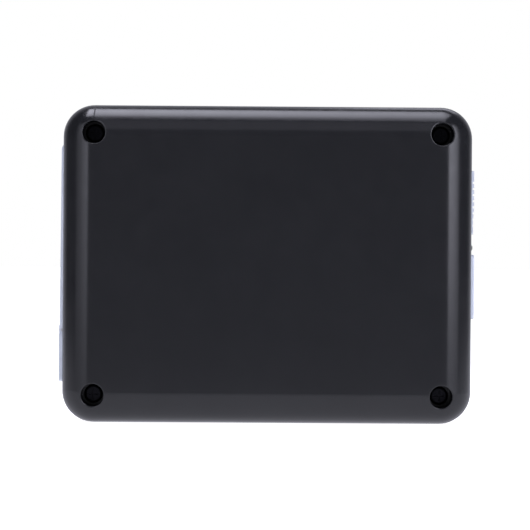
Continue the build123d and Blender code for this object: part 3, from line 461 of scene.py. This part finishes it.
def make_materials():
    """One material for each of the record's slots."""
    return {
        "shell_black": black_shell(),
        "lens_clear": clear("window_acrylic", (0.96, 0.98, 0.98), 0.03, 1.49),
        "mask_black": plain_plastic("mask_black", (0.006, 0.006, 0.007), 0.35),
        "display_glass": display_glass(),
        "display_light": plain_plastic("light_block", (0.82, 0.86, 0.80), 0.5),
        "bezel_metal": metal("blackened_steel", (0.05, 0.05, 0.052), 0.4),
        "circuit_board": circuit_board(),
        "header_plastic": plain_plastic("header_nylon", (0.02, 0.02, 0.021), 0.45),
        "gold_pin": metal("gold_plate", (0.90, 0.66, 0.26), 0.22),
        "brass_post": metal("brass", (0.76, 0.58, 0.27), 0.26, (1.0, 12.0, 1.0)),
        "steel": metal("zinc_steel", (0.66, 0.67, 0.66), 0.28),
        "screw_steel": metal("black_zinc", (0.022, 0.022, 0.026), 0.3),
        "pale_plastic": pale_plastic(),
        "plunger_plastic": plain_plastic("plunger_nylon", (0.05, 0.05, 0.052), 0.42),
        "switch_body": plain_plastic("switch_nylon", (0.06, 0.06, 0.065), 0.4),
        "chip_epoxy": plain_plastic("chip_epoxy", (0.018, 0.018, 0.02), 0.5, 7000.0),
        "capacitor_can": metal("capacitor_can", (0.70, 0.71, 0.73), 0.3, (1.0, 20.0, 1.0)),
        "capacitor_film": plain_plastic("dipped_epoxy", (0.55, 0.15, 0.035), 0.25),
        "ferrite": plain_plastic("ferrite", (0.05, 0.05, 0.055), 0.6, 3000.0),
        "copper": winding(),
        "crystal_metal": metal("crystal_can", (0.75, 0.75, 0.74), 0.2, (10.0, 1.0, 1.0)),
        "lamp_red": lamp("red_lamp", (0.55, 0.03, 0.02), (1.0, 0.08, 0.04)),
        "lamp_white": lamp("white_lamp", (0.85, 0.84, 0.70), (1.0, 0.95, 0.8)),
        "light_pipe": clear("light_pipe", (0.72, 0.82, 0.76), 0.12, 1.49),
        "tube_glass": clear("tube_glass", (0.93, 0.96, 0.95), 0.02, 1.5),
        "tube_metal": metal("tube_sleeve", (0.52, 0.53, 0.55), 0.3, (18.0, 1.0, 1.0)),
        "socket_metal": metal("socket_shell", (0.66, 0.66, 0.67), 0.24, (12.0, 1.0, 1.0)),
        "battery_foil": foil(),
        "tape": tape_material(),
        "wire_red": plain_plastic("red_silicone", (0.50, 0.02, 0.015), 0.5),
        "wire_black": plain_plastic("black_silicone", (0.015, 0.015, 0.016), 0.5),
        "connector_white": plain_plastic("natural_nylon", (0.78, 0.75, 0.66), 0.42),
    }


def lamp(name, colour, glow):
    """Tinted clear epoxy, faintly lit from inside."""
    material = principled(name, colour, 0.12, IOR=1.55, Coat_Weight=0.5)
    shade = spread(material, noise(material, 900.0, 2.0), 0.0, 1.0)
    colour_between(material, shade, [c * 0.8 for c in colour], colour)
    shader_of(material).inputs["Emission Color"].default_value = (*glow, 1.0)
    shader_of(material).inputs["Emission Strength"].default_value = 0.12
    return material


# --- The display's reading ---

DIGITS = {
    "0": "abcdef", "1": "bc", "2": "abged", "3": "abgcd", "4": "fgbc",
    "5": "afgcd", "6": "afgedc", "7": "abc", "8": "abcdefg", "9": "abcdfg",
}


def segments(width, height, thick, gap):
    """The seven bars of a digit centred on the origin, by their usual letters."""
    w, h, t = width / 2 - thick / 2, height / 4 - thick / 4, thick / 2

    def bar(length, x, z, upright):
        half = length / 2 - gap
        lying = [(-half, 0), (-half + t, -t), (half - t, -t), (half, 0), (half - t, t), (-half + t, t)]
        return moved(lying, x, z, math.pi / 2 if upright else 0.0)

    across, rise = width - thick, height / 2 - thick / 2
    return {
        "a": bar(across, 0, 2 * h, False),
        "g": bar(across, 0, 0, False),
        "d": bar(across, 0, -2 * h, False),
        "f": bar(rise, -w, h, True),
        "b": bar(rise, w, h, True),
        "e": bar(rise, -w, -h, True),
        "c": bar(rise, w, -h, True),
    }


def number(text, x, z, width, height, thick, pitch):
    """The lit and the unlit bars of a row of digits whose middle is x, z. A blank is all unlit."""
    lit, unlit = [], []
    for i, letter in enumerate(text):
        centre = x + (i - (len(text) - 1) / 2) * pitch
        for key, bar in segments(width, height, thick, 0.05 * thick + DIGIT_GAP).items():
            target = lit if key in DIGITS.get(letter, "") else unlit
            target.append(moved(bar, centre, z, slant=DIGIT_SLANT))
    return lit, unlit


def battery_mark(x, z):
    """An open battery outline, and its full and its empty cells."""
    width, height, line = (value * MM for value in (*CELL_MARK, CELL_LINE))
    nose_x = x + width / 2 + CELL_LINE * MM
    outline = [
        rectangle(x, z + height / 2, width, line),
        rectangle(x, z - height / 2, width, line),
        rectangle(x - width / 2 + line / 2, z, line, height - line),
        rectangle(x + width / 2 - line / 2, z, line, height - line),
        rectangle(nose_x, z, CELL_NOSE[0] * MM, CELL_NOSE[1] * MM),
    ]
    fills = []
    for i in range(CELL_FILLS):
        fill_x = x + (i - (CELL_FILLS - 1) / 2) * CELL_FILL_PITCH * MM
        fills.append(rectangle(fill_x, z, CELL_FILL_WIDTH * MM, height - 3 * line))
    return outline + fills[:CELL_FILLS_LIT], fills[CELL_FILLS_LIT:]


def pulse_mark(x, z):
    """A square pulse, drawn as upright and lying bars."""
    line, high, step = PULSE_LINE * MM, PULSE_HEIGHT * MM, PULSE_STEP * MM
    marks = []
    for i in range(3):
        left = x + (i - 1.5) * 2 * step
        marks.append(rectangle(left + step / 2, z - high / 2, step, line))
        marks.append(rectangle(left + step + line / 2, z, line, high - line))
        marks.append(rectangle(left + 1.5 * step + line / 2, z + high / 2, step + line, line))
        marks.append(rectangle(left + 2 * step + line / 2, z, line, high - line))
    return marks


def sound_mark(x, z):
    """A loudspeaker with two short waves."""
    horn = [(-1.0 * MM, -0.6 * MM), (0.2 * MM, -1.5 * MM), (0.2 * MM, 1.5 * MM), (-1.0 * MM, 0.6 * MM)]
    marks = [rectangle(x - 1.6 * MM, z, 0.9 * MM, 1.1 * MM), moved(horn, x, z)]
    turns = [math.radians(-40 + 10 * i) for i in range(9)]
    for radius in WAVE_RADII:
        inner, outer = radius * MM, radius * MM + WAVE_LINE * MM
        arc = [(x + outer * math.cos(t), z + outer * math.sin(t)) for t in turns]
        arc += [(x + inner * math.cos(t), z + inner * math.sin(t)) for t in reversed(turns)]
        marks.append(arc)
    return marks


def unit_text(material, x, z, size, front_y):
    """The unit of dose rate beside the reading, as thin closed letters."""
    curve = bpy.data.curves.new("unit_letters", "FONT")
    curve.body = "µSv/h"
    curve.size = size
    curve.extrude = 0.00001
    curve.resolution_u = 4
    holder = bpy.data.objects.new("unit_letters", curve)
    scene.collection.objects.link(holder)
    bpy.context.view_layer.update()
    mesh = bpy.data.meshes.new_from_object(holder.evaluated_get(bpy.context.evaluated_depsgraph_get()))
    bpy.data.objects.remove(holder)
    mesh.transform(Matrix.Translation((x, front_y, z)) @ Matrix.Rotation(math.pi / 2, 4, "X"))
    mesh.name = "display_unit"
    mesh.materials.clear()
    return finish_piece("display_unit", mesh, material, "case")


def build_reading():
    """Everything that the display shows, a hair in front of its glass."""
    low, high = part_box("lcd_glass")
    middle_x, middle_z = (low.x + high.x) / 2, (low.z + high.z) / 2
    front_y = low.y - INK_LIFT
    ink = plain_plastic("display_ink", (0.012, 0.016, 0.02), 0.4)
    faint = plain_plastic("display_unlit", (0.31, 0.36, 0.29), 0.35)
    # The unlit bars get the same painted glow as the display's ground, in place of the light that the window
    # keeps off them.
    shader_of(faint).inputs["Emission Color"].default_value = (0.36, 0.43, 0.33, 1.0)
    shader_of(faint).inputs["Emission Strength"].default_value = 0.42

    def at(x, z):
        return middle_x + x * MM, middle_z + z * MM

    lit, unlit = [], []

    def show(pair):
        lit.extend(pair[0])
        unlit.extend(pair[1])

    big = [size * MM for size in BIG_DIGIT]
    small = [size * MM for size in SMALL_DIGIT]
    show(number(" 0", *at(*WHOLE_AT), *big))
    show(number("14", *at(*TENTHS_AT), *big))
    lit.append(rectangle(*at(*POINT_AT), POINT_SIZE * MM, POINT_SIZE * MM))
    show(number("027", *at(*PULSES_AT), *small))
    lit.extend(pulse_mark(*at(*PULSE_MARK_AT)))
    show(battery_mark(*at(*BATTERY_AT)))
    lit.extend(sound_mark(*at(*SOUND_AT)))
    for i in range(BAR_CELLS):
        x, z = at((i - (BAR_CELLS - 1) / 2) * BAR_PITCH, BAR_Z)
        cell = rectangle(x, z, BAR_CELL[0] * MM, BAR_CELL[1] * MM)
        (lit if i < BAR_CELLS_LIT else unlit).append(cell)
    print_layer("display_lit_marks", lit, front_y, INK_THICKNESS, ink, "case")
    print_layer("display_unlit_marks", unlit, front_y, INK_THICKNESS, faint, "case")
    unit_text(ink, *at(*UNIT_AT), UNIT_SIZE * MM, front_y + INK_THICKNESS / 2)


# --- Print on the keys ---


def build_key_marks():
    """A dark mark printed on each front key: a list, down, up and a lamp."""
    ink = plain_plastic("key_ink", (0.035, 0.04, 0.055), 0.45)
    arrow = [(x * MM, z * MM) for x, z in ARROW]
    ray = rectangle(SUN_RAY_FROM_MIDDLE * MM, 0, SUN_RAY[0] * MM, SUN_RAY[1] * MM)
    marks = {
        "menu_key": [rectangle(0, z * MM, MENU_LINE[0] * MM, MENU_LINE[1] * MM) for z in MENU_LINE_ZS],
        "down_key": [arrow],
        "up_key": [[(x, -z) for x, z in arrow[::-1]]],
        "lamp_key": [disc(0, 0, SUN_R * MM)],
    }
    marks["lamp_key"] += [moved(ray, turn=2 * math.pi * i / SUN_RAYS) for i in range(SUN_RAYS)]
    for key, outlines in marks.items():
        low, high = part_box(key)
        middle = cad_mid((low, high))
        placed = [moved(outline, middle.x, middle.z) for outline in outlines]
        front_y = low.y - MARK_THICKNESS / 2
        print_layer(f"{key}_mark", placed, front_y, MARK_THICKNESS, ink, key)


# --- Gold contacts in the charging socket ---


def build_socket_contacts(material):
    """Twelve thin strips on each side of the socket's tongue."""
    low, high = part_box("usb_socket")
    middle = cad_mid((low, high))
    size = Matrix.Diagonal((*(side * MM for side in CONTACT_SIZE), 1.0))
    bm = bmesh.new()
    for side in (-1, 1):
        y = middle.y + side * CONTACT_FROM_MIDDLE * MM
        for i in range(CONTACTS):
            z = middle.z + (i - (CONTACTS - 1) / 2) * CONTACT_PITCH * MM
            place = Matrix.Translation((high.x - CONTACT_FROM_MOUTH * MM, y, z))
            bmesh.ops.create_cube(bm, size=1.0, matrix=place @ size)
    mesh = bpy.data.meshes.new("usb_contacts")
    bm.to_mesh(mesh)
    bm.free()
    finish_piece("usb_contacts", mesh, material, "case")


# --- Studio ---


def soft_box(name, centre, target, width, height, radiance, turn, across):
    """A rectangular lamp that faces the target.

    radiance is how bright its face is, across says how that changes from one side of it to the other, and turn,
    in degrees, is about the line to the target.
    """
    data = bpy.data.lights.new(name, "AREA")
    data.shape = "RECTANGLE"
    data.size = width
    data.size_y = height
    data.energy = radiance * math.pi * width * height
    data.color = LAMP_TINT
    data.use_nodes = True
    tree = data.node_tree
    face = tree.nodes.new("ShaderNodeNewGeometry")
    split = tree.nodes.new("ShaderNodeSeparateXYZ")
    fade = tree.nodes.new("ShaderNodeMapRange")
    fade.inputs["To Min"].default_value, fade.inputs["To Max"].default_value = across
    tree.links.new(face.outputs["Parametric"], split.inputs["Vector"])
    tree.links.new(split.outputs["X"], fade.inputs["Value"])
    tree.links.new(fade.outputs["Result"], tree.nodes["Emission"].inputs["Strength"])
    light = bpy.data.objects.new(name, data)
    scene.collection.objects.link(light)
    aim = Vector(target) - Vector(centre)
    facing = aim.to_track_quat("-Z", "Y").to_matrix().to_4x4()
    light.matrix_world = Matrix.Translation(centre) @ facing @ Matrix.Rotation(math.radians(turn), 4, "Z")
    return light


def build_floor():
    """A pale floor, and a card that stands in for it in reflections, brightest close to the object."""
    floor_material = principled("pale_floor", (0.9, 0.9, 0.9), 0.9)
    shade = spread(floor_material, noise(floor_material, 3.0), 0.0, 1.0)
    colour_between(floor_material, shade, (0.89, 0.89, 0.89), (0.91, 0.91, 0.91))
    shader_of(floor_material).inputs["Emission Color"].default_value = (1.0, 1.0, 1.0, 1.0)
    shader_of(floor_material).inputs["Emission Strength"].default_value = 1.0
    floor = flat_sheet("floor", FLOOR_HALF, FLOOR_HALF, FLOOR_Z, floor_material)
    floor.visible_glossy = False
    card_material = principled("floor_card", (0.0, 0.0, 0.0), 1.0)
    split = add(card_material, "ShaderNodeSeparateXYZ")
    wire(card_material, place_of(card_material), split.inputs["Vector"])
    ramp = add(card_material, "ShaderNodeValToRGB")
    fill_ramp(ramp, CARD_STOPS, ROOM_TINT)
    ahead = spread(card_material, split.outputs["Y"], 0.0, 1.0, *CARD_FADE_Y)
    shader = shader_of(card_material)
    wire(card_material, ahead, ramp.inputs["Fac"], ramp.outputs["Color"], shader.inputs["Emission Color"])
    shader.inputs["Emission Strength"].default_value = 1.0
    card = flat_sheet("floor_card", 0.6, 1.2, CARD_Z, card_material)
    card.visible_camera = False
    card.visible_diffuse = False
    card.visible_shadow = False


def flat_sheet(name, x, y, z, material):
    """A level rectangle from -x, -y to x, y that belongs to the stage."""
    mesh = bpy.data.meshes.new(name)
    mesh.from_pydata([(-x, -y, z), (x, -y, z), (x, y, z), (-x, y, z)], [], [(0, 1, 2, 3)])
    mesh.materials.append(material)
    sheet = bpy.data.objects.new(name, mesh)
    scene.collection.objects.link(sheet)
    return sheet


def build_world():
    """White to the camera; as light, white behind the object and dim elsewhere."""
    world = bpy.data.worlds.new("studio")
    scene.world = world
    world.use_nodes = True
    tree = world.node_tree
    tree.nodes.clear()
    path = tree.nodes.new("ShaderNodeLightPath")
    white = tree.nodes.new("ShaderNodeBackground")
    room = tree.nodes.new("ShaderNodeBackground")
    mix = tree.nodes.new("ShaderNodeMixShader")
    output = tree.nodes.new("ShaderNodeOutputWorld")
    place = tree.nodes.new("ShaderNodeTexCoord")
    split = tree.nodes.new("ShaderNodeSeparateXYZ")
    half = tree.nodes.new("ShaderNodeMapRange")
    ramp = tree.nodes.new("ShaderNodeValToRGB")
    white.inputs["Color"].default_value = (1.0, 1.0, 1.0, 1.0)
    half.inputs["From Min"].default_value = -1.0
    fill_ramp(ramp, ROOM_STOPS, ROOM_TINT)
    link = tree.links.new
    link(place.outputs["Generated"], split.inputs["Vector"])
    link(split.outputs["Y"], half.inputs["Value"])
    link(half.outputs["Result"], ramp.inputs["Fac"])
    link(ramp.outputs["Color"], room.inputs["Color"])
    link(path.outputs["Is Camera Ray"], mix.inputs["Fac"])
    link(room.outputs["Background"], mix.inputs[1])
    link(white.outputs["Background"], mix.inputs[2])
    link(mix.outputs["Shader"], output.inputs["Surface"])


def polar(distance, azimuth, elevation):
    """A point round the object: azimuth from +Y towards +X, in degrees."""
    a, e = math.radians(azimuth), math.radians(elevation)
    centre = cad_mid((cad_low, cad_high))
    return centre + distance * Vector((math.sin(a) * math.cos(e), math.cos(a) * math.cos(e), math.sin(e)))


def build_lights():
    """Boxes overhead, a pair each side of the camera, a faint one above it and one high behind the object."""
    centre = cad_mid((cad_low, cad_high))
    for name, place, size, radiance in OVERHEAD_LAMPS:
        above = centre + Vector(place)
        soft_box(name, above, above - Vector((0, 0, 1)), *size, radiance, OVERHEAD_TURN, OVERHEAD_ACROSS)
    for name, place, size, radiance, across in LAMPS:
        soft_box(name, polar(*place), centre, *size, radiance, 0, across)


def build_camera():
    """A long lens near the middle of the rear face, a little to +X."""
    data = bpy.data.cameras.new("camera")
    data.sensor_width = CAMERA_SENSOR
    data.lens = CAMERA_LENS
    data.clip_start = 0.05
    camera = bpy.data.objects.new("camera", data)
    scene.collection.objects.link(camera)
    camera.location = polar(CAMERA_DISTANCE, CAMERA_TURN, CAMERA_RISE)
    middle = Vector((0.0, 0.0, (cad_low.z + cad_high.z) / 2))
    aim = middle + Vector(CAMERA_AIM) - camera.location
    facing = aim.to_track_quat("-Z", "Y").to_matrix().to_4x4()
    roll = Matrix.Rotation(math.radians(CAMERA_ROLL), 4, "Z")
    camera.matrix_world = Matrix.Translation(camera.location) @ facing @ roll
    scene.camera = camera


def dress_nodes(materials):
    """Gives each CAD node the material of its slot."""
    slots = {part["node"]: part["material_slot"] for part in frame["record"]["subparts"]}
    for name, node in NODES.items():
        node.data.materials.clear()
        node.data.materials.append(materials[slots[name]])


build_camera()
materials = make_materials()
dress_nodes(materials)
build_reading()
build_key_marks()
build_socket_contacts(materials["gold_pin"])
build_floor()
build_world()
build_lights()
